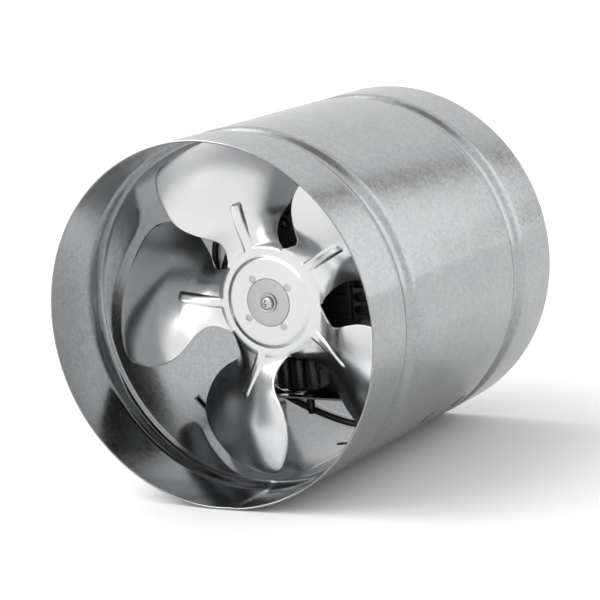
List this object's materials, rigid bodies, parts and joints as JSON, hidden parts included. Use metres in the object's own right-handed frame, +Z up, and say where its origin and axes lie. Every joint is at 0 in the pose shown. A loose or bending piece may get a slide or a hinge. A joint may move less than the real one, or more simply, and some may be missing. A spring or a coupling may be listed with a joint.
{
  "type": "inline duct fan",
  "caption": "Round galvanised duct casing with a stamped sickle-blade axial impeller spun by a shaded-pole motor on a bent sheet bracket inside.",
  "frame": {"origin": "middle of the casing, on the fan's axis", "axes": "+Y along the fan's axis from the impeller end to the motor end, +Z up from the bracket's plate towards the motor, +X to the right seen from the impeller end"},
  "size_m": [0.21, 0.234, 0.21],
  "materials": {
    "galvanised_steel": "hot-dip galvanised sheet, fine spangle, satin",
    "impeller_aluminium": "bright rolled sheet, satin",
    "zinc_hub": "zinc, satin",
    "plated_steel": "zinc plated",
    "blackened_steel": "black oxide, slightly oily",
    "lamination": "varnished lamination edges",
    "coil_tape": "black insulating tape and varnish",
    "black_casting": "black powder coat on die-casting",
    "black_nylon": "black moulded nylon",
    "lead_sheath": "black flexible sheath",
    "sintered_bronze": "sintered, matt",
    "pale_nylon": "natural nylon"
  },
  "bodies": {
    "housing": {"casing": "galvanised_steel", "stator_stack": "lamination", "field_coil_1": "coil_tape", "field_coil_2": "coil_tape", "field_coil_3": "coil_tape", "field_coil_4": "coil_tape", "front_shield": "black_casting", "rear_shield": "black_casting", "front_bearing": "sintered_bronze", "rear_bearing": "sintered_bronze", "shield_screw_1": "blackened_steel", "shield_screw_2": "blackened_steel", "shield_screw_3": "blackened_steel", "shield_nut_1": "plated_steel", "shield_nut_2": "plated_steel", "shield_nut_3": "plated_steel", "motor_base": "black_nylon", "motor_bracket": "galvanised_steel", "base_screw_1": "plated_steel", "base_screw_2": "plated_steel", "motor_lead": "lead_sheath", "lead_clip": "black_nylon", "terminal_block": "pale_nylon", "terminal_screw_1": "plated_steel", "terminal_screw_2": "plated_steel", "terminal_screw_3": "plated_steel"},
    "rotor": {"impeller": "impeller_aluminium", "hub_bush": "zinc_hub", "hub_rivet_1": "zinc_hub", "hub_rivet_2": "zinc_hub", "hub_rivet_3": "zinc_hub", "hub_rivet_4": "zinc_hub", "hub_washer": "plated_steel", "shaft_screw": "plated_steel", "motor_shaft": "plated_steel", "rotor_core": "lamination"}
  },
  "joints": [
    {"name": "impeller_spin", "type": "hinge", "parent": "housing", "child": "rotor", "pos_m": [0, 0, 0], "axis": [0, -1, 0], "continuous": true}
  ]
}
